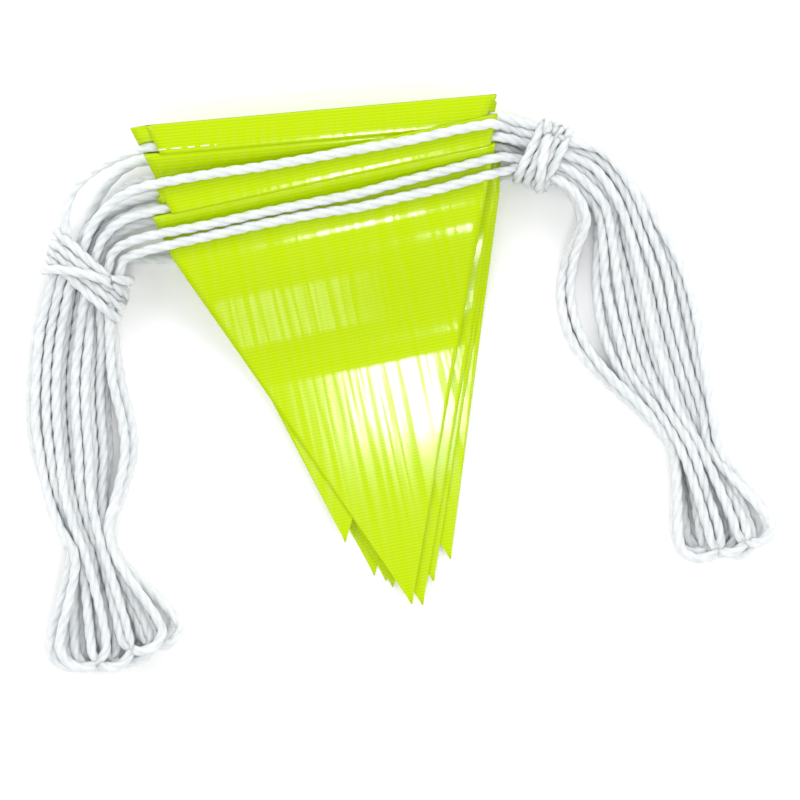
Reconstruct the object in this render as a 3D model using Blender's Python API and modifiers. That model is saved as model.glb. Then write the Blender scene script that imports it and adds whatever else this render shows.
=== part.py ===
"""Pennant line, tied up for storage: triangular pennants threaded on one rope, lying in a stack.

The rope leaves each side of the stack as a fan, runs through a tie and hangs in a hank.
Three strands of it cross the front of the stack and one crosses behind it.
Lengths are in millimetres and are turned to metres where a mesh or a curve is made.
The stack lies on z = 0, with +X along the hems and the pennants' tips towards -Y.
"""

import math

import bmesh
import bpy
import numpy as np
from mathutils import Matrix, Vector

MM = 0.001
COLLECTION = "pennant_line"

# Pennants. The width is along the fold at the top of the hem, the height from there to the tip.
PENNANT_WIDTH = 228.0
PENNANT_HEIGHT = 286.0
HALF_APEX = math.radians(22.4)
TIP_HALF_WIDTH = 0.7
FABRIC = 0.4
HEM_DROP = 14.0
HEM_INSET = 8.0

# Rope, and the sleeve that each hem makes around it.
ROPE_D = 6.4
HEM_ROPE_D = 6.0
GAP = 0.3
END_GAP = 0.9
SLEEVE_WALL = 0.4
SLEEVE_R = HEM_ROPE_D / 2 + GAP + SLEEVE_WALL

# Heights. The stack lies on the back strand in three tiers, each of two or three pennants.
LAYER_STEP = 1.0
FREE_STEP = 0.75
STACK_BASE = ROPE_D + 0.5
ROWS_PER_TIER = 3
TIER_STEP = 2 * SLEEVE_R + (ROWS_PER_TIER - 1) * LAYER_STEP + 0.5

# The line where the free part of each pennant bends up, just below the lowest front strand.
HINGE_POINT = Vector((-145.4, 76.6))
HINGE_ANGLE = math.radians(11.8)
HINGE_LEFT_END = -150.0
HINGE_RIGHT_END = 61.5
HINGE_GAP = 0.4
SETTLE_LENGTH = 90.0
FREE_ROWS = 10

# Each pennant from the bottom up: fold centre x and y, tilt in degrees, and how far its tip curls.
LAY = (
    (-46.2, 165.8, 6.0, 0.0, 0.0),
    (-46.2, 155.9, 7.0, 2.4, 6.0),
    (-46.2, 146.0, 8.0, 1.7, 11.5),
    (-48.1, 154.7, 12.2, 19.0, 16.5),
    (-48.1, 146.6, 12.2, 8.4, 10.9),
    (-48.1, 138.6, 12.2, 1.6, 4.1),
    (-53.6, 169.6, 5.1, -6.2, 17.5),
    (-49.3, 144.2, 12.2, -4.0, -0.9),
)

# Faces where the fans begin, left and right of the hems.
LEFT_FAN_X = -170.0
RIGHT_FAN_X = 67.0

# Ties: centre, direction of the rope through it, half length, half width and half height of the neck.
NECK_HALF_HEIGHT = 8.7
NECK_OVERHANG = 2.0
TIE_Z = NECK_HALF_HEIGHT + GAP + ROPE_D
LEFT_TIE = {"centre": (-197.0, 67.0), "angle": math.radians(255.0), "half_length": 13.0,
            "half_width": 26.0, "pivot_radius": 24.0}
RIGHT_TIE = {"centre": (88.4, 142.9), "angle": math.radians(-16.3), "half_length": 12.5,
             "half_width": 17.0, "pivot_radius": 20.0}

# Hanks: the outer shape below the round top, going round clockwise on the left and on the right.
HANK_THICKNESS = 24.0
LEFT_HANK = (
    (-170.8, 14.0), (-167.1, -2.8), (-162.1, -22.6), (-160.3, -35.7), (-164.6, -56.1),
    (-170.8, -67.3), (-176.4, -85.9), (-175.8, -95.8), (-169.0, -107.0), (-159.7, -114.4),
    (-147.2, -125.6), (-137.3, -138.6), (-135.5, -151.0), (-137.3, -160.3), (-145.4, -165.9),
    (-167.7, -176.4), (-185.1, -180.7), (-196.2, -180.7), (-207.4, -177.6), (-214.2, -168.3),
    (-218.6, -149.1), (-216.7, -133.6), (-211.1, -114.4), (-209.5, -105.1), (-216.7, -89.6),
    (-224.8, -65.4), (-232.8, -41.9), (-235.9, -15.2), (-234.1, 5.9),
)
RIGHT_HANK = (
    (140.4, 141.7), (153.5, 124.3), (166.5, 102.6), (175.8, 84.0), (185.1, 58.0), (190.0, 29.5),
    (194.4, 3.4), (196.9, -20.2), (203.1, -40.6), (214.8, -56.1), (227.2, -67.9), (235.3, -78.4),
    (236.2, -90.0), (234.5, -101.4), (221.0, -107.0), (208.0, -106.5), (193.8, -111.9),
    (182.0, -110.1), (174.5, -101.4), (169.0, -83.4), (167.7, -65.4), (169.6, -49.9),
    (165.2, -40.6), (154.7, -25.7), (138.0, -10.9), (122.5, 5.9), (105.1, 24.5), (98.0, 38.0),
    (96.4, 55.5), (101.4, 76.0), (108.4, 97.0),
)

# Routes of the strands that cross the stack: x, y and z of the rope's centre line.
UPPER_Z = STACK_BASE + 2 * TIER_STEP + LAYER_STEP + 2 * SLEEVE_R + GAP + ROPE_D / 2
LOWER_Z = STACK_BASE + 2 * TIER_STEP + LAYER_STEP + FABRIC + GAP + ROPE_D / 2
BACK_Z = ROPE_D / 2
FRONT_STRAND_UPPER = (
    (-168.8, 120.9), (-149.1, 124.3), (-114.4, 130.5), (-83.4, 134.9), (-52.4, 140.4),
    (-25.1, 145.4), (9.0, 151.6), (34.4, 157.2), (54.9, 160.9), (65.4, 162.1),
)
FRONT_STRAND_MIDDLE = (
    (-168.4, 87.8), (-150.4, 93.2), (-114.4, 100.1), (-83.4, 107.0), (-52.4, 113.2),
    (-25.1, 118.7), (-6.5, 123.7), (24.5, 131.8), (54.9, 139.8), (65.4, 143.4),
)
FRONT_STRAND_LOWER = (
    (-168.6, 80.4), (-145.4, 86.1), (-114.4, 93.1), (-83.4, 100.0), (-52.4, 105.9),
    (-25.1, 110.1), (-6.5, 114.6), (24.5, 121.5), (49.9, 128.7), (65.4, 135.0),
)
BACK_STRAND = (
    (-167.0, 80.0), (-157.0, 79.0), (-142.9, 79.5), (-110.0, 84.5), (-70.0, 90.0),
    (-30.0, 94.5), (8.0, 99.0), (30.0, 103.5), (44.0, 110.0), (54.0, 119.5), (63.8, 133.0),
)

FABRIC_COLOUR = (0.62, 0.86, 0.004)
ROPE_COLOUR = (0.82, 0.85, 0.87)


def clear_scene():
    for obj in list(bpy.data.objects):
        bpy.data.objects.remove(obj, do_unlink=True)


def new_collection(name):
    collection = bpy.data.collections.new(name)
    bpy.context.scene.collection.children.link(collection)
    return collection


def material(name, colour, roughness, metallic=0.0):
    made = bpy.data.materials.new(name)
    made.use_nodes = True
    shader = made.node_tree.nodes["Principled BSDF"]
    shader.inputs["Base Color"].default_value = (*colour, 1.0)
    shader.inputs["Roughness"].default_value = roughness
    shader.inputs["Metallic"].default_value = metallic
    return made


def add_object(name, data, collection, colour, roughness):
    obj = bpy.data.objects.new(name, data)
    collection.objects.link(obj)
    data.materials.append(material(name + "_material", colour, roughness))
    return obj


def direction(angle):
    return Vector((math.cos(angle), math.sin(angle)))


def smooth_step(share):
    held = min(max(share, 0.0), 1.0)
    return held * held * (3.0 - 2.0 * held)


def through(points, per_span, closed=False):
    """A smooth curve through the points: each span is a cubic whose end slopes follow its neighbours."""
    given = np.array(points, float)
    if closed:
        before, after = np.roll(given, 1, axis=0), np.roll(given, -1, axis=0)
        slopes = (after - before) / 2
        starts, ends = given, after
        start_slopes, end_slopes = slopes, np.roll(slopes, -1, axis=0)
    else:
        slopes = np.gradient(given, axis=0)
        starts, ends = given[:-1], given[1:]
        start_slopes, end_slopes = slopes[:-1], slopes[1:]
    t = (np.arange(per_span) / per_span)[None, :, None]
    curve = (
        (2 * t**3 - 3 * t**2 + 1) * starts[:, None]
        + (t**3 - 2 * t**2 + t) * start_slopes[:, None]
        + (3 * t**2 - 2 * t**3) * ends[:, None]
        + (t**3 - t**2) * end_slopes[:, None]
    ).reshape(-1, given.shape[1])
    return curve if closed else np.vstack([curve, given[-1]])


def outline_curve(name, outline, low, high):
    """A flat outline as a filled 2D curve, extruded to reach from z = low to z = high."""
    curve = bpy.data.curves.new(name, "CURVE")
    curve.dimensions = "2D"
    curve.fill_mode = "BOTH"
    curve.extrude = (high - low) / 2 * MM
    spline = curve.splines.new("POLY")
    spline.points.add(len(outline) - 1)
    for point, (x, y) in zip(spline.points, outline):
        point.co = (x * MM, y * MM, 0.0, 1.0)
    spline.use_cyclic_u = True
    return curve


def plate(name, outline, low, high, collection, colour, roughness):
    curve = outline_curve(name, outline, low, high)
    obj = add_object(name, curve, collection, colour, roughness)
    obj.location.z = (low + high) / 2 * MM
    return obj


def tube(name, points, radius, collection):
    """A round rope along the points, with filled ends."""
    curve = bpy.data.curves.new(name, "CURVE")
    curve.dimensions = "3D"
    curve.bevel_depth = radius * MM
    curve.bevel_resolution = 2
    curve.use_fill_caps = True
    spline = curve.splines.new("POLY")
    spline.points.add(len(points) - 1)
    for point, place in zip(spline.points, points):
        point.co = (*(value * MM for value in place), 1.0)
    return add_object(name, curve, collection, ROPE_COLOUR, 0.6)


def layer_height(number):
    """Underside of the bound part of a pennant, counted from the bottom."""
    tier, row = divmod(number, ROWS_PER_TIER)
    return STACK_BASE + tier * TIER_STEP + row * LAYER_STEP


def settled_height(number):
    """Underside of the free part of a pennant where it has come down onto the ones below it."""
    return number * FREE_STEP


def on_hinge_line(start, towards):
    """Where the line from start along towards meets the hinge line, no further out than its ends."""
    along = direction(HINGE_ANGLE)
    across = Vector((-along.y, along.x))
    met = start + towards * ((HINGE_POINT - start).dot(across) / towards.dot(across))
    x = min(max(met.x, HINGE_LEFT_END), HINGE_RIGHT_END)
    return HINGE_POINT + along * ((x - HINGE_POINT.x) / along.x)


def layout(number):
    """The corners of a pennant as it lies, in plan."""
    x, y, tilt_degrees, curl_x, curl_y = LAY[number]
    tilt = math.radians(tilt_degrees)
    along = direction(tilt)
    down = Vector((along.y, -along.x))
    fold = Vector((x, y))
    tip = fold + down * PENNANT_HEIGHT + Vector((curl_x, curl_y))
    up_left = direction(math.pi / 2 + tilt + HALF_APEX)
    up_right = direction(math.pi / 2 + tilt - HALF_APEX)
    return {
        "tilt": tilt, "along": along, "down": down, "fold": fold, "tip": tip,
        "rope": fold + down * HEM_DROP,
        "fold_left": fold - along * (PENNANT_WIDTH / 2),
        "fold_right": fold + along * (PENNANT_WIDTH / 2),
        "hinge_left": on_hinge_line(tip, up_left),
        "hinge_right": on_hinge_line(tip, up_right),
    }


def mesh_from(obj, name):
    """A mesh object in place of a curve object, with its end caps joined on."""
    bpy.context.view_layer.update()
    evaluated = obj.evaluated_get(bpy.context.evaluated_depsgraph_get())
    mesh = bpy.data.meshes.new_from_object(evaluated)
    mesh.name = name
    welded = bmesh.new()
    welded.from_mesh(mesh)
    bmesh.ops.remove_doubles(welded, verts=welded.verts, dist=1e-6)
    welded.to_mesh(mesh)
    welded.free()
    made = bpy.data.objects.new(name, mesh)
    made.matrix_world = obj.matrix_world
    bpy.data.objects.remove(obj, do_unlink=True)
    return made


def cylinder(name, radius, length, sides=20):
    """A capped cylinder along X, centred on the origin."""
    mesh = bpy.data.meshes.new(name)
    built = bmesh.new()
    bmesh.ops.create_cone(built, cap_ends=True, segments=sides, radius1=radius * MM,
                          radius2=radius * MM, depth=length * MM,
                          matrix=Matrix.Rotation(math.pi / 2, 4, "Y"))
    built.to_mesh(mesh)
    built.free()
    return bpy.data.objects.new(name, mesh)


def box(name, size, centre):
    mesh = bpy.data.meshes.new(name)
    built = bmesh.new()
    bmesh.ops.create_cube(built, size=1.0)
    bmesh.ops.scale(built, vec=[value * MM for value in size], verts=built.verts)
    bmesh.ops.translate(built, vec=[value * MM for value in centre], verts=built.verts)
    built.to_mesh(mesh)
    built.free()
    return bpy.data.objects.new(name, mesh)


def add_boolean(obj, other, operation):
    cut = obj.modifiers.new(operation.lower() + "_" + other.name, "BOOLEAN")
    cut.object = other
    cut.operation = operation


def keep_as_helper(obj, helpers):
    helpers.objects.link(obj)
    obj.hide_render = True
    obj.display_type = "WIRE"


def bound_edge(hinge_corner, fold_corner, plan):
    """The point of a pennant's side, level with its rope."""
    rise_at_hinge = (plan["rope"] - hinge_corner).dot(-plan["down"])
    rise_at_fold = (fold_corner - hinge_corner).dot(-plan["down"])
    return hinge_corner.lerp(fold_corner, rise_at_hinge / rise_at_fold)


def make_hem(number, parts, helpers):
    """The bound part of a pennant: a sleeve round the rope, the fold above it and the fabric below."""
    name = f"pennant_{number + 1}_hem"
    plan = layout(number)
    base = layer_height(number)
    length = PENNANT_WIDTH - 2 * HEM_INSET
    place = Matrix.Translation((plan["rope"].x * MM, plan["rope"].y * MM, (base + SLEEVE_R) * MM))
    turned = place @ Matrix.Rotation(plan["tilt"], 4, "Z")

    shift = direction(HINGE_ANGLE + math.pi / 2) * HINGE_GAP
    corners = (
        plan["hinge_left"] + shift,
        plan["hinge_right"] + shift,
        bound_edge(plan["hinge_right"], plan["fold_right"], plan),
        bound_edge(plan["hinge_left"], plan["fold_left"], plan),
    )
    apron = plate(name + "_apron", corners, base, base + FABRIC, parts, FABRIC_COLOUR, 0.3)
    hem = mesh_from(apron, name)
    parts.objects.link(hem)
    if not hem.data.materials:
        hem.data.materials.append(material(name + "_material", FABRIC_COLOUR, 0.3))

    sleeve = cylinder(name + "_sleeve", SLEEVE_R, length)
    sleeve.matrix_world = turned
    thickness = 2 * FABRIC - 0.1
    fold = box(name + "_fold", (length, HEM_DROP, thickness),
               (0.0, HEM_DROP / 2, SLEEVE_R - thickness / 2))
    fold.matrix_world = turned
    bore = cylinder(name + "_bore", HEM_ROPE_D / 2 + GAP, length + 10.0)
    bore.matrix_world = turned
    for helper in (sleeve, fold, bore):
        keep_as_helper(helper, helpers)
    add_boolean(hem, sleeve, "UNION")
    add_boolean(hem, fold, "UNION")
    add_boolean(hem, bore, "DIFFERENCE")
    return hem


def hinge_place(number):
    """A point on the pennant's bend, half way along it."""
    plan = layout(number)
    middle = (plan["hinge_left"] + plan["hinge_right"]) / 2
    return Vector((middle.x, middle.y, layer_height(number) + FABRIC / 2))


def make_free_part(number, parts):
    """The free part of a pennant: strips from the hinge line to the tip that settle onto the stack.

    Each strip starts and ends at the same distance from the hinge line on every pennant, so that the
    pennants keep their spacing while they come down.
    """
    name = f"pennant_{number + 1}_panel"
    plan = layout(number)
    out = direction(HINGE_ANGLE - math.pi / 2)
    sides = []
    for corner, tip_side in (("hinge_left", -TIP_HALF_WIDTH), ("hinge_right", TIP_HALF_WIDTH)):
        top = plan[corner] + out * (HINGE_GAP / 2)
        sides.append((top, plan["tip"] + plan["along"] * tip_side - top))
    points = []
    for far in np.linspace(0.0, SETTLE_LENGTH, FREE_ROWS):
        drop = smooth_step(far / SETTLE_LENGTH)
        height = layer_height(number) * (1 - drop) + settled_height(number) * drop
        for top, edge in sides:
            place = top + edge * (far / edge.dot(out))
            points.append((place.x, place.y, height))
    for top, edge in sides:
        points.append((*(top + edge), settled_height(number)))
    origin = hinge_place(number)
    mesh = bpy.data.meshes.new(name)
    faces = [(2 * i, 2 * i + 2, 2 * i + 3, 2 * i + 1) for i in range(FREE_ROWS)]
    mesh.from_pydata([(Vector(point) - origin) * MM for point in points], [], faces)
    panel = add_object(name, mesh, parts, FABRIC_COLOUR, 0.3)
    wall = panel.modifiers.new("thickness", "SOLIDIFY")
    wall.thickness = FABRIC * MM
    wall.offset = 1.0
    hinge = bpy.data.objects.new(f"pennant_{number + 1}_bend", None)
    hinge.location = origin * MM
    parts.objects.link(hinge)
    panel.parent = hinge
    return panel


def make_hem_rope(number, parts):
    """The rope inside one hem, from the left fan to the right one."""
    plan = layout(number)
    height = layer_height(number) + SLEEVE_R
    ends = []
    for face in (LEFT_FAN_X + END_GAP, RIGHT_FAN_X - END_GAP):
        reach = (face - plan["rope"].x) / plan["along"].x
        place = plan["rope"] + plan["along"] * reach
        ends.append((place.x, place.y, height))
    return tube(f"rope_in_hem_{number + 1}", ends, HEM_ROPE_D / 2, parts)


def neck_corner(tie, end, side):
    """A corner of the neck in plan: end is -1 towards the fan and 1 towards the hank."""
    along = direction(tie["angle"])
    across = Vector((-along.y, along.x))
    half_length = tie["half_length"] + NECK_OVERHANG + GAP
    return Vector(tie["centre"]) + along * (end * half_length) + across * (side * tie["half_width"])


def make_fans(parts):
    """The rope between the hems and each tie, as one solid of its outer shape on each side."""
    top = UPPER_Z + ROPE_D / 2 + GAP
    left = [
        (LEFT_FAN_X, 144.0), (-188.8, 131.0), (-202.4, 121.0), (-209.5, 110.0), (-214.5, 98.0),
        neck_corner(LEFT_TIE, -1, -1), neck_corner(LEFT_TIE, -1, 1), (LEFT_FAN_X, 78.0),
    ]
    right = [
        (RIGHT_FAN_X, 171.0), (RIGHT_FAN_X, 131.0),
        neck_corner(RIGHT_TIE, -1, -1), neck_corner(RIGHT_TIE, -1, 1),
    ]
    plate("left_rope_fan", left, 0.0, top, parts, ROPE_COLOUR, 0.6)
    plate("right_rope_fan", right, 0.0, top, parts, ROPE_COLOUR, 0.6)


def elliptic_bar(name, half_width, half_height, length):
    """A capped bar along X with an elliptical section."""
    bar = cylinder(name, 1.0, length, sides=40)
    bar.data.transform(Matrix.Diagonal((1.0, half_width, half_height, 1.0)))
    return bar


def make_tie(side, tie, parts, helpers):
    """A neck of rope and the turns wound round it."""
    turned = (Matrix.Translation((tie["centre"][0] * MM, tie["centre"][1] * MM, TIE_Z * MM))
              @ Matrix.Rotation(tie["angle"], 4, "Z"))
    length = 2 * tie["half_length"]
    neck = elliptic_bar(f"{side}_neck", tie["half_width"], NECK_HALF_HEIGHT,
                        length + 2 * NECK_OVERHANG)
    wrap = elliptic_bar(f"{side}_tie", tie["half_width"] + GAP + ROPE_D,
                        NECK_HALF_HEIGHT + GAP + ROPE_D, length)
    bore = elliptic_bar(f"{side}_tie_bore", tie["half_width"] + GAP, NECK_HALF_HEIGHT + GAP,
                        length + 10.0)
    for obj in (neck, wrap):
        obj.data.materials.append(material(obj.name + "_material", ROPE_COLOUR, 0.6))
        parts.objects.link(obj)
    for obj in (neck, wrap, bore):
        obj.matrix_world = turned
    keep_as_helper(bore, helpers)
    add_boolean(wrap, bore, "DIFFERENCE")


def pivot_of(tie):
    """The vertical axis on which a hank swings under its tie, in plan."""
    reach = tie["half_length"] + NECK_OVERHANG + GAP + tie["pivot_radius"]
    return Vector(tie["centre"]) + direction(tie["angle"]) * reach


def make_hank(side, tie, lower, first_angle, last_angle, parts):
    """A hank: a round top about its pivot, then the outer shape of the hanging loops."""
    pivot = pivot_of(tie)
    arc = [pivot + direction(math.radians(angle)) * tie["pivot_radius"]
           for angle in np.linspace(first_angle, last_angle, 7)]
    outline = through([tuple(point) for point in arc] + list(lower), 2, closed=True)
    local = [(x - pivot.x, y - pivot.y) for x, y in outline]
    hank = plate(f"{side}_hank", local, 0.0, HANK_THICKNESS, parts, ROPE_COLOUR, 0.6)
    hank.location.x = pivot.x * MM
    hank.location.y = pivot.y * MM


def make_strands(parts):
    strands = {
        "front_strand_upper": (FRONT_STRAND_UPPER, UPPER_Z),
        "front_strand_middle": (FRONT_STRAND_MIDDLE, LOWER_Z),
        "front_strand_lower": (FRONT_STRAND_LOWER, LOWER_Z),
        "back_strand": (BACK_STRAND, BACK_Z),
    }
    for name, (route, height) in strands.items():
        points = [(x, y, height) for x, y in through(route, 2)]
        tube(name, points, ROPE_D / 2, parts)


def make_rope_ends(parts):
    """The two cut and melted ends of the rope, tucked out of the ties."""
    for side, tie, end in (("left", LEFT_TIE, -1), ("right", RIGHT_TIE, -1)):
        along = direction(tie["angle"])
        across = Vector((-along.y, along.x))
        sideways = tie["half_width"] + 1.5 * ROPE_D + 2 * GAP - 0.2
        middle = Vector(tie["centre"]) - across * sideways
        reach = tie["half_length"] - 2.0
        start, finish = middle - along * reach, middle + along * (reach - 8.0)
        points = [(start.x, start.y, TIE_Z), ((start.x + finish.x) / 2, (start.y + finish.y) / 2, TIE_Z),
                  (finish.x, finish.y, TIE_Z)]
        tube(f"{side}_rope_end", points, ROPE_D / 2 - 0.2, parts)


def plan_limits(obj, graph):
    """The lowest and highest x and y of an object's own points, in metres."""
    evaluated = obj.evaluated_get(graph)
    mesh = evaluated.to_mesh()
    points = np.array([evaluated.matrix_world @ vertex.co for vertex in mesh.vertices])[:, :2]
    evaluated.to_mesh_clear()
    return points.min(axis=0), points.max(axis=0)


def centre_on_origin(parts):
    """Moves everything so that the box round the parts is centred on x = y = 0."""
    bpy.context.view_layer.update()
    graph = bpy.context.evaluated_depsgraph_get()
    limits = [plan_limits(obj, graph) for obj in parts.objects if obj.type != "EMPTY"]
    low = np.min([limit[0] for limit in limits], axis=0)
    high = np.max([limit[1] for limit in limits], axis=0)
    middle = (low + high) / 2
    shift = Matrix.Translation((-middle[0], -middle[1], 0.0))
    for obj in bpy.data.objects:
        if obj.parent is None:
            obj.matrix_world = shift @ obj.matrix_world


def main():
    clear_scene()
    parts = new_collection(COLLECTION)
    helpers = new_collection("helpers")
    for number in range(len(LAY)):
        make_hem(number, parts, helpers)
        make_free_part(number, parts)
        make_hem_rope(number, parts)
    make_strands(parts)
    make_fans(parts)
    make_tie("left", LEFT_TIE, parts, helpers)
    make_tie("right", RIGHT_TIE, parts, helpers)
    make_hank("left", LEFT_TIE, LEFT_HANK, 165.0, -10.0, parts)
    make_hank("right", RIGHT_TIE, RIGHT_HANK, 259.0, 69.0, parts)
    make_rope_ends(parts)
    centre_on_origin(parts)


main()
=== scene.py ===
"""The look of the tied pennant line: twisted rope, coated pennants, a white floor and soft light.

Lengths are in millimetres, in the layout that the part was drawn in. Where a mesh is made, to_part moves
them to the part's origin and scales them to metres.
"""

import math

import bpy
import numpy as np
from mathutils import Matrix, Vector


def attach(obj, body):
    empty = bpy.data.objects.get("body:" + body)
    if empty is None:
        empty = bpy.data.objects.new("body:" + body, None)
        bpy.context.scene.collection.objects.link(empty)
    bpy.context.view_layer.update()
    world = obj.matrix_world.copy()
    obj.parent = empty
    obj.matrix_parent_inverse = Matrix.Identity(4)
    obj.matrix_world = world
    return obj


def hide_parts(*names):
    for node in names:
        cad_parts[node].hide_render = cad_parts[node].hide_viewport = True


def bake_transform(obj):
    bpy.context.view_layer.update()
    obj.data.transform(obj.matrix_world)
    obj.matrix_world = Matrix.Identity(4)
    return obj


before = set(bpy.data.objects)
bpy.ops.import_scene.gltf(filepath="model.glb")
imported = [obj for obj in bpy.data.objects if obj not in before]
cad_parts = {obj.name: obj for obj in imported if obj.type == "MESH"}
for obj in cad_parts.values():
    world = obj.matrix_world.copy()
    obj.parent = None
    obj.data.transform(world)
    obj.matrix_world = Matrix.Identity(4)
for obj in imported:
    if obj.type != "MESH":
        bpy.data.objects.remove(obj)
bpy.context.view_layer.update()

MM = 0.001
CENTRE_SHIFT = np.array([-0.231, 1.07, 0.0])

# Rope: diameter, length of one twist, and each strand's radius and offset as shares of the rope's radius.
ROPE_D = 6.4
LAY = 32.0
STRAND_SHARE = 0.6
OFFSET_SHARE = 0.4
SIDES_PER_STRAND = 7
RING_STEP = 1.7

# Pennants: the cut size of one, its film, and the sizes that the part gives it.
FILM_THICKNESS = 0.3
FILM_LIFT = 0.2
PENNANT_WIDTH = 228.0
PENNANT_HEIGHT = 286.0
HALF_APEX = math.radians(22.4)
HEM_DROP = 14.0
LAYER_STEP = 1.0
FREE_STEP = 0.75
STACK_BASE = 6.9
ROWS_PER_TIER = 3
SLEEVE_R = 3.7
TIER_STEP = 9.9
HINGE_POINT = np.array([-145.4, 76.6])
HINGE_ANGLE = math.radians(11.8)
HINGE_LEFT_END = -150.0
HINGE_RIGHT_END = 61.5
SETTLE_LENGTH = 90.0
TIP_HALF_WIDTH = 0.4
# Grid of a sheet: columns, rows down to the bend, down the slope below it and on to the tip, and how
# far below the bend the slope's first row is.
SHEET_COLUMNS = 41
LEVEL_ROWS = 8
SLOPE_ROWS = 30
TIP_ROWS = 25
SLOPE_START = 3.0
# Each pennant: middle of its fold, tilt in degrees, and how far its tip lies off to the side and up.
PENNANTS = (
    (-46.2, 165.8, 6.0, 0.0, 0.0),
    (-46.2, 155.9, 7.0, 2.4, 6.0),
    (-46.2, 146.0, 8.0, 1.7, 11.5),
    (-48.1, 154.7, 12.2, 19.0, 16.5),
    (-48.1, 146.6, 12.2, 8.4, 10.9),
    (-48.1, 138.6, 12.2, 1.6, 4.1),
    (-53.6, 169.6, 5.1, -6.2, 17.5),
    (-49.3, 144.2, 12.2, -4.0, -0.9),
)

# How far the hem's front layer and the back stop short of the full width at the fold: left and right.
TOP_INSET = (9.0, 8.0, 8.0, 7.0)
TOP_INSETS = {6: (10.0, 0.8, 0.0, 0.0), 7: (12.0, 3.0, 10.0, 2.0)}
# How far below the fold the back of a hem widens out from the inset to the full side.
INSET_FADE = (10.0, 18.0)
# Where the top pennants slope down from their stitches: distance below the fold of both ends.
SLOPE_ENDS = {6: (19.0, 37.0), 7: (18.5, 27.0)}
SLOPE_HEIGHT = 6.5
# A hem's section as (distance below the fold, height): the front layer's edge, which comes down to the
# fabric under it, the way over the rope to the fold, the back from the fold to under the rope, and then
# either level or, on the two top pennants, up again to the stitches. Their front layer ends level there.
HEM_EDGE = [(19.0, 0.75), (18.6, 1.3), (17.9, 3.4), (16.6, 5.9)]
HEM_OVER = [(14.0, 7.35), (11.0, 7.35), (7.0, 7.3), (3.0, 7.2), (0.8, 7.15), (0.0, 6.95)]
HEM_UNDER = [(0.8, 6.75), (3.0, 6.72), (6.0, 6.7), (8.8, 6.3), (10.2, 4.2), (11.0, 1.8), (12.4, 0.5)]
HEM_LEVEL = [(15.0, FILM_LIFT), (19.5, FILM_LIFT)]
HEM_RISE = [(15.0, FILM_LIFT), (16.6, 0.7), (17.2, 3.0), (17.8, 6.0)]
SEWN_EDGE_WIDTH = 1.5
SEWN_EDGE_HEIGHTS = (7.05, 7.2)
SLOPE_POINTS = 9
# Where the rope runs straight through a hem.
HEM_ROPE_ENDS = (-158.0, -120.0, 30.0, 60.5)

# Stitches that show on the seventh pennant: from and to along its fold, how far below it, the range of
# their lengths and gaps, and the thread's height where it is sunk, its rise and the ramp between.
STITCH_FROM = -97.5
STITCH_TO = -62.0
STITCH_DROP = 15.8
STITCH_LENGTHS = (5.0, 7.5)
STITCH_GAPS = (2.2, 3.6)
THREAD_D = 0.9
THREAD_STEP = 0.4
THREAD_SUNK = 6.5
THREAD_RISE = 1.05
THREAD_RAMP = 0.8

# Strands over the front and behind: the height and the places that each passes through.
UPPER_Z = 38.6
LOWER_Z = 31.6
BACK_Z = 3.2
FRONT_STRANDS = {
    "upper": (UPPER_Z, (
        (-149.1, 124.3), (-114.4, 130.5), (-83.4, 134.9), (-52.4, 140.4), (-25.1, 145.4),
        (9.0, 151.6), (34.4, 157.2), (54.9, 160.9))),
    "middle": (LOWER_Z, (
        (-150.4, 93.2), (-114.4, 100.1), (-83.4, 107.0), (-52.4, 113.2), (-25.1, 118.7),
        (-6.5, 123.7), (24.5, 131.8), (54.9, 139.8))),
    "lower": (LOWER_Z, (
        (-145.4, 86.1), (-114.4, 93.1), (-83.4, 100.0), (-52.4, 105.9), (-25.1, 110.1),
        (-6.5, 114.6), (24.5, 121.5), (49.9, 128.7))),
    "back": (BACK_Z, (
        (-157.0, 79.0), (-142.9, 79.5), (-110.0, 84.5), (-70.0, 90.0), (-30.0, 94.5),
        (8.0, 99.0), (30.0, 103.5), (44.0, 110.0), (54.0, 119.5), (62.0, 131.0))),
}

# Necks: height of the ties' middle and of the three layers, and how the columns of rope lie in them.
TIE_Z = 15.4
NECK_LAYERS = (9.2, 15.4, 21.6)
COLUMNS = 6
COLUMN_SHARE = 0.94
COLUMN_STAGGER = 0.25
# Rope that bends into a neck: how far outside the tie it arrives, and what its corner has to keep to.
ENTRY_REACH = 1.0
LEAST_BEFORE_CORNER = 4.0
LEAST_AFTER_CORNER = 2.0
FARTHEST_CORNER = 90.0
# Ties: centre, direction, the columns' spacing, half width of the wraps, how far they lean along the
# neck, and how much wider the last ones are.
TIES = {
    "left": {"centre": (-194.5, 69.0), "angle": math.radians(255.0), "spacing": 7.6, "ring": 25.5,
             "lean": 13.0, "over": 1.5},
    "right": {"centre": (88.4, 142.9), "angle": math.radians(-16.3), "spacing": 5.9, "ring": 19.0,
              "lean": 4.0, "over": 2.0},
}
TIE_HALF_LENGTH = 13.0
RING_HALF_HEIGHT = 12.2
# Wraps: how many, where along the neck they start and how far apart they are.
TIE_TURNS = 5.4
TIE_STEPS_PER_TURN = 16
TIE_START = -11.0
TIE_PITCH = 5.7
# The last wraps cross over the others: from which turn, over how much of one, and how they lie.
OVER_FROM = 3.8
OVER_SPAN = 0.9
OVER_MIDDLE = 4.9
OVER_PITCH = 5.0
OVER_LEAN = -5.0
OVER_RISE = 5.2

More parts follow.
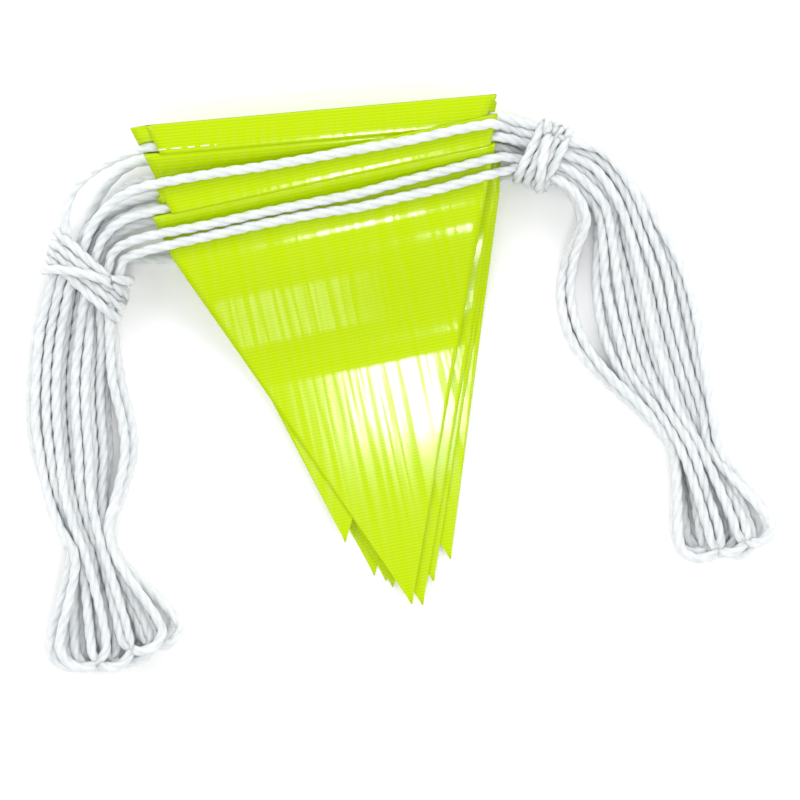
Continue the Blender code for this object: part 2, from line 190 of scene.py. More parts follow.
# Hanks: at each station, where the bundle's two sides are. Strands are counted from the first side.
HANKS = {
    "left": (
        ((-229.0, 36.0), (-175.0, 26.0)),
        ((-232.5, 5.0), (-171.0, 2.0)),
        ((-233.0, -22.0), (-165.0, -22.0)),
        ((-230.0, -43.0), (-163.5, -42.0)),
        ((-222.5, -66.0), (-170.0, -66.0)),
        ((-214.5, -88.0), (-178.0, -88.0)),
        ((-208.0, -106.0), (-174.0, -105.0)),
    ),
    "right": (
        ((127.0, 148.0), (107.0, 114.0)),
        ((146.0, 128.0), (110.5, 99.0)),
        ((163.0, 103.0), (101.0, 78.0)),
        ((179.0, 74.0), (97.0, 54.0)),
        ((188.0, 42.0), (104.0, 27.0)),
        ((193.0, 10.0), (121.0, 7.0)),
        ((197.5, -18.0), (147.0, -17.0)),
        ((201.0, -38.0), (166.0, -40.0)),
    ),
}
# Turns at a hank's low end: centre of the first and the last one, radii, and how the lower ends vary.
TURNS = {
    "left": {"first": (-205.0, -152.0), "last": (-151.0, -147.0), "radius": 12.0, "drop": (24.0, 15.0)},
    "right": {"first": (222.0, -80.0), "last": (180.5, -84.0), "radius": 10.5, "drop": (17.0, 21.0)},
}
LOOP_COUNT = 12
TURN_LEVELS = (1, 3, 0, 2)
LEVEL_STEP = 5.4
TURN_POINTS = 7
# The middle turns reach lower than the first and the last, by this much, and all lie this much higher.
MIDDLE_TURNS_LOWER = 5.0
TURNS_HIGHER = 2.0
# How far chance moves each turn's middle, its radius, its lower end and each strand in each section.
MIDDLE_WANDER = 1.2
RADIUS_RANGE = (-0.5, 3.0)
DROP_RANGE = (-2.0, 3.0)
STRAND_WANDER = 0.9
# How far the twist of each rope is turned from the next one's, so that they don't match, in radians.
HANK_TWIST_STEP = 0.9
HEM_TWIST_STEP = 1.3
FRONT_TWIST = 0.4
# A loop comes back up where the loop that is this many further on goes down.
REACH_OF_TURN = 4.6
# Strands settle in each section: how close two lie, how many steps they fall and how far in each, how
# often they push each other apart in a step, and how much of an overlap each push takes away.
STRAND_PITCH = 6.1
SETTLE_STEPS = 160
SETTLE_FALL = 0.1
SETTLE_PUSHES = 5
PUSH_SHARE = 0.3
# Lowest and highest places of strand centres in the neck and in the hank, and how they start there.
NECK_REACH = (6.6, 24.0)
HANK_REACH = (ROPE_D / 2, 27.0)
START_HEIGHT = 7.0
START_LEVEL_STEP = 4.6
# Strands that stand off on a hank's inner side: how many, and how far at each station.
STAND_OFF = {
    "left": (3, (0.0, 4.0, 9.0, 9.5, 7.0, 0.0, 0.0)),
    "right": (4, (0.0, 6.0, 11.5, 12.0, 9.0, 4.0, 0.0, 0.0)),
}
# A strand that stands off outside the left fan.
OUTER_WAY = ((-183.2, 136.7), (-201.8, 121.2), (-207.4, 105.7), (-206.5, 92.0))
# Where the rope of each hem and each strand goes in the two necks: layer and column.
SLOTS = {
    "hem_1": ((0, 1.4), (0, 0)),
    "hem_2": ((0, 2.2), (0, 2)),
    "hem_3": ((0, 3.0), (0, 3)),
    "hem_4": ((1, 1.2), (1, 0)),
    "hem_5": ((1, 2.4), (1, 2)),
    "hem_6": ((1, 3.4), (1, 3)),
    "hem_7": ((2, 0), (2, 0)),
    "hem_8": ((2, 2.6), (2, 2)),
    "upper": ((2, 1.4), (2, 1)),
    "middle": ((2, 3.9), (2, 4)),
    "lower": ((2, 5), (2, 5)),
    "back": ((0, 5), (0, 5)),
}

# Floor, light and camera, in metres: soft boxes all round, and small windows overhead that are mirrored
# in the front pennant (name, place to the side, tilt in degrees towards the front, size and power).
FLOOR_HALF_WIDTH = 3.0
WORLD_STRENGTH = 0.55
SOFT_BOX_SIZE = 1.0
SOFT_BOXES = (
    ("left", (-1.4, 0.3, 0.9), 9.0),
    ("right", (1.4, 0.1, 0.9), 7.5),
    ("back", (0.1, 1.5, 0.9), 10.5),
    ("front", (0.0, -1.4, 0.9), 4.5),
)
WINDOW_DISTANCE = 2.1
WINDOWS = (
    ("low_window", 0.0, -0.3, 0.11, 4.2),
    ("middle_window", 0.34, 20.0, 0.17, 4.5),
    ("high_window", 0.12, 36.0, 0.2, 0.6),
)
CAMERA_LENS = 172.7
CAMERA_SENSOR = 36.0
CAMERA_PLACE = (-0.0005, -0.0079, 2.4)


def colour(code):
    """A linear colour from its sRGB hex code."""
    values = [int(code[i:i + 2], 16) / 255 for i in (0, 2, 4)]
    return tuple(v / 12.92 if v <= 0.04045 else ((v + 0.055) / 1.055) ** 2.4 for v in values) + (1.0,)


def unit(angle):
    """The direction in plan at an angle from the x axis."""
    return np.array([math.cos(angle), math.sin(angle)])


def smooth(t):
    """A step from 0 to 1 that starts and ends level: 3 t squared less 2 t cubed."""
    return t * t * (3 - 2 * t)


def to_part(points):
    """Points in millimetres as the part has them, in metres about its own origin."""
    return (points + CENTRE_SHIFT) * MM


def tie_axes(side):
    """A tie's centre, the direction of the rope through it and the direction across, in plan."""
    along = unit(TIES[side]["angle"])
    return np.array(TIES[side]["centre"]), along, np.array([-along[1], along[0]])


def through(points, per_span=8):
    """A smooth curve through the points: each span is a cubic whose end slopes follow its neighbours."""
    given = np.array(points, float)
    steps = np.linalg.norm(np.diff(given, axis=0), axis=1)
    knots = np.concatenate([[0.0], np.cumsum(np.sqrt(steps + 1e-9))])
    slopes = np.gradient(given, knots, axis=0)
    widths = np.diff(knots)[:, None, None]
    t = (np.arange(per_span) / per_span)[None, :, None]
    curve = (
        (2 * t**3 - 3 * t**2 + 1) * given[:-1, None]
        + (t**3 - 2 * t**2 + t) * widths * slopes[:-1, None]
        + (3 * t**2 - 2 * t**3) * given[1:, None]
        + (t**3 - t**2) * widths * slopes[1:, None]
    ).reshape(-1, given.shape[1])
    return np.vstack([curve, given[-1]])


def even(points, step):
    """The same curve with points a step apart."""
    steps = np.linalg.norm(np.diff(points, axis=0), axis=1)
    places = np.concatenate([[0.0], np.cumsum(steps)])
    wanted = np.linspace(0.0, places[-1], max(int(places[-1] / step), 4) + 1)
    return np.stack([np.interp(wanted, places, points[:, i]) for i in range(points.shape[1])], axis=1)


def length_of(points):
    """The sum of the distances between neighbouring points."""
    return float(np.linalg.norm(np.diff(points, axis=0), axis=1).sum())


def grid_object(name, points, uv, wrap=False, caps=False):
    """A mesh from a grid of points (rows x columns x 3, in millimetres) with its surface coordinates.

    wrap joins the last column to the first, and caps closes the first and last rows.
    """
    rows, columns = points.shape[:2]
    used = columns - 1 if wrap else columns
    index = np.arange(rows * used).reshape(rows, used)
    right = np.roll(index, -1, axis=1) if wrap else index[:, 1:]
    left = index if wrap else index[:, :-1]
    quads = np.stack([left[:-1], right[:-1], right[1:], left[1:]], axis=-1).reshape(-1, 4)
    columns_of = np.stack([np.arange(columns - 1), np.arange(1, columns)], axis=-1)
    corner = columns_of[:, [0, 1, 1, 0]]
    row = np.arange(rows - 1)[:, None, None] + np.array([0, 0, 1, 1])
    loops_uv = uv[np.broadcast_to(row, (rows - 1, columns - 1, 4)),
                  np.broadcast_to(corner[None], (rows - 1, columns - 1, 4))].reshape(-1, 2)
    world = to_part(points[:, :used].reshape(-1, 3))
    faces = quads.tolist()
    if caps:
        faces += [index[0][::-1].tolist(), index[-1].tolist()]
        loops_uv = np.vstack([loops_uv, np.zeros((2 * used, 2))])
    mesh = bpy.data.meshes.new(name)
    mesh.from_pydata(world.tolist(), [], faces)
    layer = mesh.uv_layers.new(name="surface_mm")
    layer.data.foreach_set("uv", loops_uv.astype(np.float32).ravel())
    mesh.polygons.foreach_set("use_smooth", np.ones(len(faces), bool))
    mesh.update()
    made = bpy.data.objects.new(name, mesh)
    bpy.context.scene.collection.objects.link(made)
    return made


def frames_along(points):
    """Unit tangents and two crosswise unit vectors along a curve, turned as little as possible."""
    tangents = np.gradient(points, axis=0)
    tangents /= np.linalg.norm(tangents, axis=1)[:, None]
    side = np.cross(tangents[0], [0.0, 0.0, 1.0])
    if np.linalg.norm(side) < 1e-3:
        side = np.array([1.0, 0.0, 0.0])
    sides = []
    for tangent in tangents:
        side = side - tangent * side.dot(tangent)
        side = side / np.linalg.norm(side)
        sides.append(side)
    sides = np.array(sides)
    return tangents, sides, np.cross(tangents, sides)


def rope(name, points, phase=0.0, diameter=ROPE_D, material=None, step=RING_STEP):
    """A laid rope along the points: three round strands that wind to the right about the centre line.

    Round the rope, the distance from the centre is that of the nearest strand's circle, whose centre lies
    off the rope's own and turns once in each lay.
    """
    line = even(points, step)
    tangents, first, second = frames_along(line)
    along = np.arange(len(line)) * (length_of(line) / (len(line) - 1))
    # The points of each strand lie closer together towards the grooves.
    local = np.linspace(-1.0, 1.0, SIDES_PER_STRAND + 1)[:-1]
    local = np.sign(local) * np.abs(local) ** 0.85 * math.pi / 3
    around = (np.arange(3)[:, None] * 2 * math.pi / 3 + local[None, :]).ravel()
    around = np.append(around, around[0] + 2 * math.pi)
    offset = np.append(np.tile(local, 3), local[0])
    radius = diameter / 2 * (OFFSET_SHARE * np.cos(offset)
                             + np.sqrt(STRAND_SHARE**2 - (OFFSET_SHARE * np.sin(offset)) ** 2))
    turn = 2 * math.pi * along / (LAY * diameter / ROPE_D) + phase
    angle = around[None, :] + turn[:, None]
    points3 = line[:, None] + radius[None, :, None] * (
        np.cos(angle)[..., None] * first[:, None] + np.sin(angle)[..., None] * second[:, None])
    uv = np.stack([angle * diameter / 2, np.broadcast_to(along[:, None], angle.shape)], axis=-1)
    made = grid_object(name, points3, uv, wrap=True, caps=True)
    made.data.materials.append(material or ROPE_MATERIAL)
    return made, line


def node(tree, kind, **settings):
    """Adds a node. A setting that starts with in_ is an input: a number or colour, or a socket to link."""
    made = tree.nodes.new(kind)
    for key, value in settings.items():
        if not key.startswith("in_"):
            setattr(made, key, value)
    for key, value in settings.items():
        if key.startswith("in_"):
            name = key[3:].replace("_", " ")
            socket = made.inputs[int(name)] if name.isdigit() else made.inputs[name]
            if isinstance(value, bpy.types.NodeSocket):
                tree.links.new(value, socket)
            else:
                socket.default_value = value
    return made


def new_material(name):
    """A material with its tree and its Principled shader."""
    made = bpy.data.materials.new(name)
    made.use_nodes = True
    return made, made.node_tree, made.node_tree.nodes["Principled BSDF"]


def bands_scale(pitch):
    """The Wave texture's scale for bands a pitch apart, in millimetres: pi / 10 divided by the pitch."""
    return math.pi / 10 / pitch


def rope_material():
    """Twisted polypropylene: dense white filaments that light soaks into, so that its shadows stay pale.

    The filaments are 0.1 mm thick. They are drawn 1 mm apart, so that they show as a faint grain along
    the strands, and the white varies a little in patches 8 mm across.
    """
    made, tree, shader = new_material("twisted polypropylene rope")
    uv = node(tree, "ShaderNodeUVMap", uv_map="surface_mm")
    fibres = node(tree, "ShaderNodeTexWave", wave_type="BANDS", bands_direction="X",
                  in_Vector=uv.outputs[0], in_Scale=bands_scale(0.98), in_Distortion=0.8, in_Detail=2.0)
    patches = node(tree, "ShaderNodeTexNoise", in_Vector=uv.outputs[0], in_Scale=1 / 8.33)
    tint = node(tree, "ShaderNodeValToRGB", in_0=patches.outputs[0])
    tint.color_ramp.elements[0].position = 0.3
    tint.color_ramp.elements[0].color = colour("d5dadd")
    tint.color_ramp.elements[1].position = 0.75
    tint.color_ramp.elements[1].color = colour("e8eaea")
    bump = node(tree, "ShaderNodeBump", in_Height=fibres.outputs[1], in_Distance=0.00012,
                in_Strength=0.5)
    tree.links.new(tint.outputs[0], shader.inputs["Base Color"])
    tree.links.new(bump.outputs[0], shader.inputs["Normal"])
    shader.inputs["Roughness"].default_value = 0.42
    shader.inputs["Specular IOR Level"].default_value = 0.35
    shader.inputs["Subsurface Weight"].default_value = 0.9
    shader.inputs["Subsurface Radius"].default_value = (1.0, 1.0, 1.0)
    shader.inputs["Subsurface Scale"].default_value = 0.006
    shader.inputs["Sheen Weight"].default_value = 0.15
    return made


def pennant_material():
    """Woven polyethylene tape under a clear glossy film: fluorescent yellow-green, with a streaky shine.

    The weft shows as ribs 2 mm apart across the pennant. Their troughs are painted a shade darker than
    their crests: painted shade. The warp is drawn as streaks 3 mm apart and
    125 mm long, and the film as a whole waves gently over some 29 mm.
    """
    made, tree, shader = new_material("fluorescent coated pennant fabric")
    uv = node(tree, "ShaderNodeUVMap", uv_map="surface_mm")
    weft = node(tree, "ShaderNodeTexWave", wave_type="BANDS", bands_direction="Y",
                in_Vector=uv.outputs[0], in_Scale=bands_scale(2.0), in_Distortion=0.25, in_Detail=1.0)
    threads = node(tree, "ShaderNodeMapping", in_Vector=uv.outputs[0], in_Scale=(1 / 3.125, 1 / 125, 1.0))
    warp = node(tree, "ShaderNodeTexNoise", in_Vector=threads.outputs[0], in_Scale=1.0, in_Detail=2.0)
    waves = node(tree, "ShaderNodeTexNoise", in_Vector=uv.outputs[0], in_Scale=1 / 28.57, in_Detail=1.0)
    # Height in tenths of a millimetre: the weft's ribs, the warp's streaks and the waves.
    warp_height = node(tree, "ShaderNodeMath", operation="MULTIPLY", in_0=warp.outputs[0], in_1=6.0)
    with_waves = node(tree, "ShaderNodeMath", operation="MULTIPLY_ADD", in_0=waves.outputs[0],
                      in_1=9.0, in_2=warp_height.outputs[0])
    height = node(tree, "ShaderNodeMath", operation="ADD", in_0=weft.outputs[1],
                  in_1=with_waves.outputs[0])
    bump = node(tree, "ShaderNodeBump", in_Height=height.outputs[0], in_Distance=0.0001,
                in_Strength=0.3)
    # Painted shade: the colour follows the weft's height, darker in the troughs between the ribs and
    # lighter on their crests.
    tint = node(tree, "ShaderNodeValToRGB", in_0=weft.outputs[1])
    tint.color_ramp.elements[0].color = colour("b4d200")
    tint.color_ramp.elements[1].color = colour("bfdc00")
    # The film lies thinner over some warp threads, which breaks its shine into streaks along them.
    film = node(tree, "ShaderNodeMapRange", in_Value=warp.outputs[0], in_1=0.42, in_2=0.6,
                in_3=0.08, in_4=0.62)
    tree.links.new(tint.outputs[0], shader.inputs["Base Color"])
    tree.links.new(bump.outputs[0], shader.inputs["Normal"])
    tree.links.new(film.outputs[0], shader.inputs["Coat Weight"])
    shader.inputs["Roughness"].default_value = 0.45
    shader.inputs["Specular IOR Level"].default_value = 0.05
    shader.inputs["Coat Roughness"].default_value = 0.09
    return made


def plain_material(name, code, roughness):
    """An even colour: cotton thread, which is matt, or the floor's painted sweep."""
    made, _, shader = new_material(name)
    shader.inputs["Base Color"].default_value = colour(code)
    shader.inputs["Roughness"].default_value = roughness
    return made


ROPE_MATERIAL = rope_material()
PENNANT_MATERIAL = pennant_material()
STITCH_MATERIAL = plain_material("white sewing thread", "f2f6e8", 0.6)


def hinge_meeting(start, towards):
    """Where a line in plan meets the line on which the pennants bend, kept between that line's ends."""
    along = unit(HINGE_ANGLE)
    across = np.array([-along[1], along[0]])
    met = start + towards * ((HINGE_POINT - start).dot(across) / towards.dot(across))
    x = min(max(met[0], HINGE_LEFT_END), HINGE_RIGHT_END)
    return HINGE_POINT + along * ((x - HINGE_POINT[0]) / along[0])


def pennant_plan(number):
    """A pennant's corners in plan, its directions and the heights of its two parts."""
    x, y, tilt_degrees, curl_x, curl_y = PENNANTS[number]
    tilt = math.radians(tilt_degrees)
    along = unit(tilt)
    down = np.array([along[1], -along[0]])
    fold = np.array([x, y])
    tip = fold + down * PENNANT_HEIGHT + np.array([curl_x, curl_y])
    tier, row = divmod(number, ROWS_PER_TIER)
    return {
        "along": along, "down": down, "fold": fold, "tip": tip,
        "rope": fold + down * HEM_DROP,
        "fold_left": fold - along * (PENNANT_WIDTH / 2),
        "fold_right": fold + along * (PENNANT_WIDTH / 2),
        "hinge_left": hinge_meeting(tip, unit(math.pi / 2 + tilt + HALF_APEX)),
        "hinge_right": hinge_meeting(tip, unit(math.pi / 2 + tilt - HALF_APEX)),
        "layer": STACK_BASE + tier * TIER_STEP + row * LAYER_STEP,
        "settled": number * FREE_STEP,
    }


def pennant(number):
    """One pennant as a single sheet: the hem's front layer, over the rope, round the fold and down.

    The rows run from the hem's cut edge up to the fold, then down the back under the rope to the tip.
    Below the bend the height falls along a smooth step, and the sides run straight to the tip.
    """
    plan = pennant_plan(number)
    layer = plan["layer"]
    front, back = hem_profile(number)
    insets = TOP_INSETS.get(number, TOP_INSET)
    rows = []
    for place, (drop, height) in enumerate(front + back):
        on_front = place < len(front)
        widening = (INSET_FADE[1] - drop) / (INSET_FADE[1] - INSET_FADE[0])
        fade = 1.0 if on_front else min(max(widening, 0.0), 1.0)
        pair = insets[:2] if on_front else insets[2:]
        left = side_point(plan, "left", drop) + plan["along"] * pair[0] * fade
        right = side_point(plan, "right", drop) - plan["along"] * pair[1] * fade
        rows.append((left, right, layer + height, -drop if on_front else drop))
    depth = drop_of_hinge(plan)
    hem_end = back[-1][0]
    hem_left, hem_right = side_point(plan, "left", hem_end), side_point(plan, "right", hem_end)
    for share in np.linspace(0.0, 1.0, LEVEL_ROWS + 1)[1:]:
        left = hem_left + (plan["hinge_left"] - hem_left) * share
        right = hem_right + (plan["hinge_right"] - hem_right) * share
        rows.append((left, right, layer + FILM_LIFT, hem_end + (depth - hem_end) * share))
    out = unit(HINGE_ANGLE - math.pi / 2)
    reach = (plan["tip"] - plan["hinge_left"]).dot(out)
    slope = np.linspace(SLOPE_START, SETTLE_LENGTH, SLOPE_ROWS)
    level = np.linspace(SETTLE_LENGTH, reach, TIP_ROWS + 1)[1:]
    for far in np.concatenate([slope, level]):
        fall = smooth(min(far / SETTLE_LENGTH, 1.0))
        share = far / reach
        left = plan["hinge_left"] * (1 - share) + plan["tip"] * share
        right = plan["hinge_right"] * (1 - share) + plan["tip"] * share
        if share > 0.999:
            left, right = left - plan["along"] * TIP_HALF_WIDTH, right + plan["along"] * TIP_HALF_WIDTH
        rows.append((left, right, layer * (1 - fall) + plan["settled"] * fall + FILM_LIFT, depth + far))
    made = sheet_between(f"pennant_{number + 1}_sheet", rows)
    made.data.materials.append(PENNANT_MATERIAL)
    thickness = made.modifiers.new("film thickness", "SOLIDIFY")
    thickness.thickness = FILM_THICKNESS * MM
    thickness.offset = 0.0
    body = f"pennant_{number + 1}_panel"
    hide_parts(f"pennant_{number + 1}_hem", body)
    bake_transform(made)


def sheet_between(name, rows):
    """A sheet whose rows are straight lines, each given as left end, right end, height and drop."""
    left = np.array([row[0] for row in rows])
    right = np.array([row[1] for row in rows])
    heights = np.array([np.full(SHEET_COLUMNS, row[2]) for row in rows])
    drops = np.array([row[3] for row in rows])
    across = np.linspace(0.0, 1.0, SHEET_COLUMNS)
    plan_points = left[:, None] * (1 - across[None, :, None]) + right[:, None] * across[None, :, None]
    points = np.dstack([plan_points, heights])
    width = np.linalg.norm(right - left, axis=1)
    uv = np.stack([(across[None, :] - 0.5) * width[:, None],
                   np.broadcast_to(drops[:, None], (len(rows), SHEET_COLUMNS))], axis=-1)
    return grid_object(name, points[:, ::-1], uv[:, ::-1])


def hem_profile(number):
    """The hem's section: from its cut edge to the fold, and from the fold on down the back.

    The back runs under the rope. On the two top pennants it comes up again to the stitches and slopes
    down from there, by a smooth step.
    """
    if number not in SLOPE_ENDS:
        return HEM_EDGE + HEM_OVER, HEM_UNDER + HEM_LEVEL
    start, end = SLOPE_ENDS[number]
    shares = np.linspace(0.0, 1.0, SLOPE_POINTS)
    slope = [(start + (end - start) * t, FILM_LIFT + SLOPE_HEIGHT * (1 - smooth(t))) for t in shares]
    low, high = SEWN_EDGE_HEIGHTS
    return [(start, low), (start - SEWN_EDGE_WIDTH, high)] + HEM_OVER, HEM_UNDER + HEM_RISE + slope


def stitches():
    """Sewing thread along the hem of the upper rear pennant, near its left end.

    Its height is level on top of the fabric in each stitch and drops into it, along a short ramp, between.
    """
    plan = pennant_plan(6)
    wander = np.random.default_rng(3)
    along = np.arange(STITCH_FROM - 1.0, STITCH_TO + 1.0, THREAD_STEP)
    lift = np.zeros(len(along))
    start = STITCH_FROM
    while start < STITCH_TO:
        end = start + wander.uniform(*STITCH_LENGTHS)
        lift = np.maximum(lift, np.clip(np.minimum(along - start, end - along) / THREAD_RAMP, 0.0, 1.0))
        start = end + wander.uniform(*STITCH_GAPS)
    places = plan["fold"] + plan["down"] * STITCH_DROP + plan["along"] * along[:, None]
    height = plan["layer"] + THREAD_SUNK + THREAD_RISE * lift
    made, _ = rope("pennant_7_stitches", np.column_stack([places, height]), diameter=THREAD_D,
                   material=STITCH_MATERIAL, step=THREAD_STEP)
    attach(made, "bundle")


def drop_of_hinge(plan):
    """How far below its fold a pennant bends."""
    middle = (plan["hinge_left"] + plan["hinge_right"]) / 2
    return float((middle - plan["fold"]).dot(plan["down"]))


def side_point(plan, side, drop):
    """A point of a pennant's side, a distance below the fold."""
    top, low = plan["fold_" + side], plan["hinge_" + side]
    return top + (low - top) * (drop / (low - top).dot(plan["down"]))


def neck_point(side, place, along_tie):
    """A point in a neck: place is its layer and column, along_tie its distance from the middle."""
    layer, column = place
    centre, along, across = tie_axes(side)
    spacing = TIES[side]["spacing"]
    if side == "right":
        offset = ((COLUMNS - 1) / 2 - column) * spacing
    else:
        offset = (column - (COLUMNS - 1) / 2) * spacing
    stagger = (layer - 1) * spacing * COLUMN_STAGGER
    plan = centre + along * along_tie + across * (offset * COLUMN_SHARE + stagger)
    return np.append(plan, NECK_LAYERS[layer])


def corner_of(place, heading, other, other_heading):
    """Where two lines in plan meet."""
    gap = other - place
    cross = heading[0] * other_heading[1] - heading[1] * other_heading[0]
    return place + heading * ((gap[0] * other_heading[1] - gap[1] * other_heading[0]) / cross)


def bend_into_neck(side, place, start, heading, way=None):
    """The rope's way from a hem or strand into a neck: a parabola whose corner is where the lines meet.

    Where that corner is too near an end or too far out, it is halfway instead. A given way is followed
    as it is.
    """
    entry = neck_point(side, place, -TIE_HALF_LENGTH - ENTRY_REACH)
    if way is not None:
        plan = np.vstack([start[:2], way, entry[:2]])
        t = np.linspace(0.0, 1.0, len(plan))[:, None]
    else:
        inward = unit(TIES[side]["angle"])
        corner = corner_of(start[:2], heading, entry[:2], inward)
        ahead = (corner - start[:2]).dot(heading)
        after = (entry[:2] - corner).dot(inward)
        out = np.linalg.norm(corner - start[:2])
        if ahead < LEAST_BEFORE_CORNER or after < LEAST_AFTER_CORNER or out > FARTHEST_CORNER:
            corner = (start[:2] + entry[:2]) / 2
        t = np.linspace(0.0, 1.0, 9)[:, None]
        plan = (1 - t) ** 2 * start[:2] + 2 * t * (1 - t) * corner + t**2 * entry[:2]
    height = start[2] * (1 - smooth(t)) + entry[2] * smooth(t)
    return np.vstack([np.hstack([plan, height]), neck_point(side, place, 0.0)])


def crossing_rope(name, middle, phase):
    """Rope from the left neck to the right one, by way of a hem or over the stack."""
    left_slot, right_slot = SLOTS[name]
    left = bend_into_neck("left", left_slot, middle[0], heading_of(middle[0], middle[1]),
                          OUTER_WAY if name == "hem_7" else None)
    right = bend_into_neck("right", right_slot, middle[-1], heading_of(middle[-1], middle[-2]))
    points = np.vstack([left[::-1], middle[1:-1], right])
    made, line = rope("rope_" + name, through(points), phase)
    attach(made, "bundle")
    return made


def heading_of(end, before):
    """The direction in plan in which a route arrives at its end."""
    step = end[:2] - before[:2]
    return step / np.linalg.norm(step)


def settle(places, width, low, high):
    """Round strands that fall and push each other apart, between two walls and over a floor."""
    half = width / 2 - ROPE_D / 2
    for _ in range(SETTLE_STEPS):
        places[:, 1] -= SETTLE_FALL
        for _ in range(SETTLE_PUSHES):
            gaps = places[:, None] - places[None]
            apart = np.linalg.norm(gaps, axis=-1) + np.eye(len(places)) * 1000.0 + 1e-6
            push = np.clip(STRAND_PITCH - apart, 0.0, None) * PUSH_SHARE
            places += (gaps / apart[..., None] * push[..., None]).sum(axis=1)
            places[:, 0] = np.clip(places[:, 0], -half, half)
            places[:, 1] = np.clip(places[:, 1], low, high)
    return places


def hank_strands(side, wander):
    """Every strand of a hank: its points in plan and height from the neck to the last station.

    The strands are in order across the hank. At each station they start from where they settled at the
    one before, with its width scaled to this one's.
    """
    centre, along, across = tie_axes(side)
    across = across if side == "left" else -across
    neck_width = 2 * TIES[side]["ring"] - ROPE_D
    sections = [(centre + along * place, across, neck_width, NECK_REACH, 0.0)
                for place in (0.0, TIE_HALF_LENGTH + 2.0)]
    count, offs = STAND_OFF[side]
    for (first, last), off in zip(HANKS[side], offs):
        first, last = np.array(first), np.array(last)
        width = np.linalg.norm(last - first)
        heading = (last - first) / width
        sections.append(((first + last) / 2 - heading * off / 2, heading, width - off, HANK_REACH, off))
    strands = 2 * LOOP_COUNT
    loops = np.arange(LOOP_COUNT)
    order = np.argsort(np.concatenate([loops, loops + REACH_OF_TURN]), kind="stable")
    levels = np.array([TURN_LEVELS[loop % LOOP_COUNT % len(TURN_LEVELS)] for loop in order])
    spread = ((np.arange(strands) + 0.5) / strands - 0.5) * neck_width
    places = np.column_stack([spread, START_HEIGHT + levels * START_LEVEL_STEP])
    points = []
    before = neck_width
    for middle, heading, width, (low, high), off in sections:
        places[:, 0] = places[:, 0] * width / before + wander.normal(0.0, STRAND_WANDER, strands)
        places = settle(places, width, low, high)
        before = width
        shift = np.where(np.arange(strands) >= strands - count, off, 0.0)
        plan = middle + heading * (places[:, 0] + shift)[:, None]
        points.append(np.column_stack([plan, places[:, 1]]))
    return np.array(points), order


def hank_loops(side, wander):
    """The loops of a hank: each one down a strand from the neck, round a turn and up another strand.

    A turn is the lower half of a circle, level at its own height, and the turns lie in a row.
    """
    points, order = hank_strands(side, wander)
    turns = TURNS[side]
    sign = 1.0 if side == "left" else -1.0
    angles = np.radians(np.linspace(180.0, 360.0, TURN_POINTS))
    for number in range(LOOP_COUNT):
        share = number / (LOOP_COUNT - 1)
        middle = np.array(turns["first"]) * (1 - share) + np.array(turns["last"]) * share
        middle = middle + wander.normal(0.0, MIDDLE_WANDER, 2)
        radius = turns["radius"] + wander.uniform(*RADIUS_RANGE)
        drop = turns["drop"][0] * (1 - share) + turns["drop"][1] * share + wander.uniform(*DROP_RANGE)
        height = ROPE_D / 2 + TURN_LEVELS[number % len(TURN_LEVELS)] * LEVEL_STEP
        low = middle[1] - drop - MIDDLE_TURNS_LOWER * math.sin(math.pi * share) + TURNS_HIGHER + radius
        turn = np.column_stack([middle[0] + sign * radius * np.cos(angles),
                                low + radius * np.sin(angles), np.full(TURN_POINTS, height)])
        down = points[:, int(np.where(order == number)[0][0])]
        up = points[:, int(np.where(order == number + LOOP_COUNT)[0][0])]
        made, line = rope(f"{side}_hank_loop_{number + 1}", through(np.vstack([down, turn, up[::-1]])),
                          phase=number * HANK_TWIST_STEP)
        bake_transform(made)
        if number == 0:
            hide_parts(f"{side}_hank")


def tie_rope(side):
    """The wraps round a neck, in an oval: the angle grows with the turn, and the centre moves along.

    Each wrap leans along the neck by the cosine of its angle. The last ones pass over the others, by a
    smooth step to a wider and taller oval that leans the other way.
    """
    tie = TIES[side]
    centre, direction, across = tie_axes(side)
    turn = np.linspace(0.0, TIE_TURNS, int(TIE_TURNS * TIE_STEPS_PER_TURN) + 1)
    angle = 2 * math.pi * turn - math.pi / 2
    over = smooth(np.clip((turn - OVER_FROM) / OVER_SPAN, 0.0, 1.0))
    lean = tie["lean"] * (1.0 + 0.1 * np.sin(2.3 * turn)) * (1 - over) + OVER_LEAN * over
    along = (TIE_START + TIE_PITCH * turn) * (1 - over) + (turn - OVER_MIDDLE) * OVER_PITCH * over
    along = along + lean * np.cos(angle)
    reach = (tie["ring"] + tie["over"] * over) * np.cos(angle)
    plan = centre + direction * along[:, None] + across * reach[:, None]
    height = np.maximum(TIE_Z + (RING_HALF_HEIGHT + OVER_RISE * over) * np.sin(angle), ROPE_D / 2)
    made, line = rope(f"{side}_tie_rope", through(np.column_stack([plan, height]), 4))
    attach(made, "bundle")
    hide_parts(f"{side}_tie", f"{side}_neck", f"{side}_rope_fan", f"{side}_rope_end")


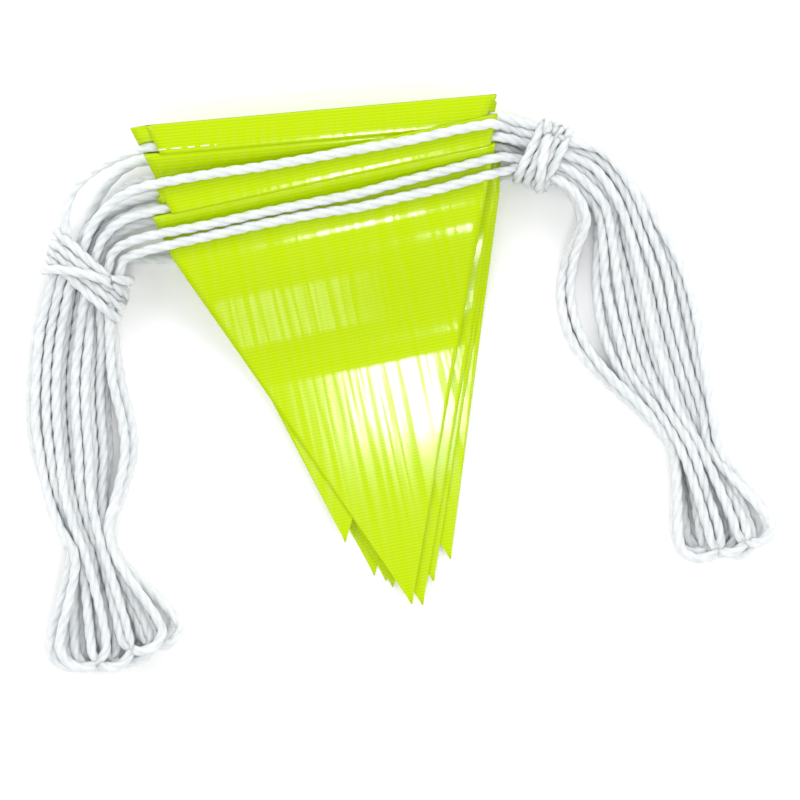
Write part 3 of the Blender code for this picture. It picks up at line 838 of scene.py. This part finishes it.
def stage_and_light():
    """A wide white floor, an even white sky, soft boxes and windows."""
    floor_mesh = bpy.data.meshes.new("studio_floor")
    reach = FLOOR_HALF_WIDTH
    floor_mesh.from_pydata([(-reach, -reach, 0), (reach, -reach, 0), (reach, reach, 0), (-reach, reach, 0)],
                           [], [(0, 1, 2, 3)])
    floor = bpy.data.objects.new("studio_floor", floor_mesh)
    bpy.context.scene.collection.objects.link(floor)
    floor.data.materials.append(plain_material("white studio sweep", "ffffff", 0.9))
    world = bpy.context.scene.world or bpy.data.worlds.new("studio")
    bpy.context.scene.world = world
    world.use_nodes = True
    background = world.node_tree.nodes["Background"]
    background.inputs[0].default_value = (1.0, 1.0, 1.0, 1.0)
    background.inputs[1].default_value = WORLD_STRENGTH
    bpy.context.scene.view_settings.view_transform = "Standard"
    for name, place, power in SOFT_BOXES:
        area_light(name, place, SOFT_BOX_SIZE, power)
    for name, x, tilt, size, power in WINDOWS:
        lean = math.radians(tilt)
        place = (x, -WINDOW_DISTANCE * math.sin(lean), WINDOW_DISTANCE * math.cos(lean))
        area_light(name, place, size, power)


def area_light(name, place, size, power):
    """A square light that faces the middle of the bundle."""
    data = bpy.data.lights.new(name, "AREA")
    data.shape = "SQUARE"
    data.size = size
    data.energy = power
    light = bpy.data.objects.new(name, data)
    bpy.context.scene.collection.objects.link(light)
    light.location = place
    light.rotation_euler = (-Vector(place)).to_track_quat("-Z", "Y").to_euler()


def camera():
    """A long lens straight above the bundle."""
    data = bpy.data.cameras.new("camera")
    data.lens = CAMERA_LENS
    data.sensor_width = CAMERA_SENSOR
    made = bpy.data.objects.new("camera", data)
    bpy.context.scene.collection.objects.link(made)
    made.location = CAMERA_PLACE
    bpy.context.scene.camera = made


def build():
    """All pieces, with the rope of each hem after its pennant."""
    wander = np.random.default_rng(5)
    for number in range(len(PENNANTS)):
        pennant(number)
        plan = pennant_plan(number)
        ends = []
        for x in HEM_ROPE_ENDS:
            place = plan["rope"] + plan["along"] * ((x - plan["rope"][0]) / plan["along"][0])
            ends.append(np.append(place, plan["layer"] + SLEEVE_R))
        made = crossing_rope(f"hem_{number + 1}", np.array(ends), number * HEM_TWIST_STEP)
        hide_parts(f"rope_in_hem_{number + 1}")
    for name, (height, route) in FRONT_STRANDS.items():
        points = np.array([(x, y, height) for x, y in route])
        made = crossing_rope(name, points, FRONT_TWIST)
        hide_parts("back_strand" if name == "back" else f"front_strand_{name}")
    for side in HANKS:
        hank_loops(side, wander)
        tie_rope(side)
    stitches()
    stage_and_light()
    camera()


build()
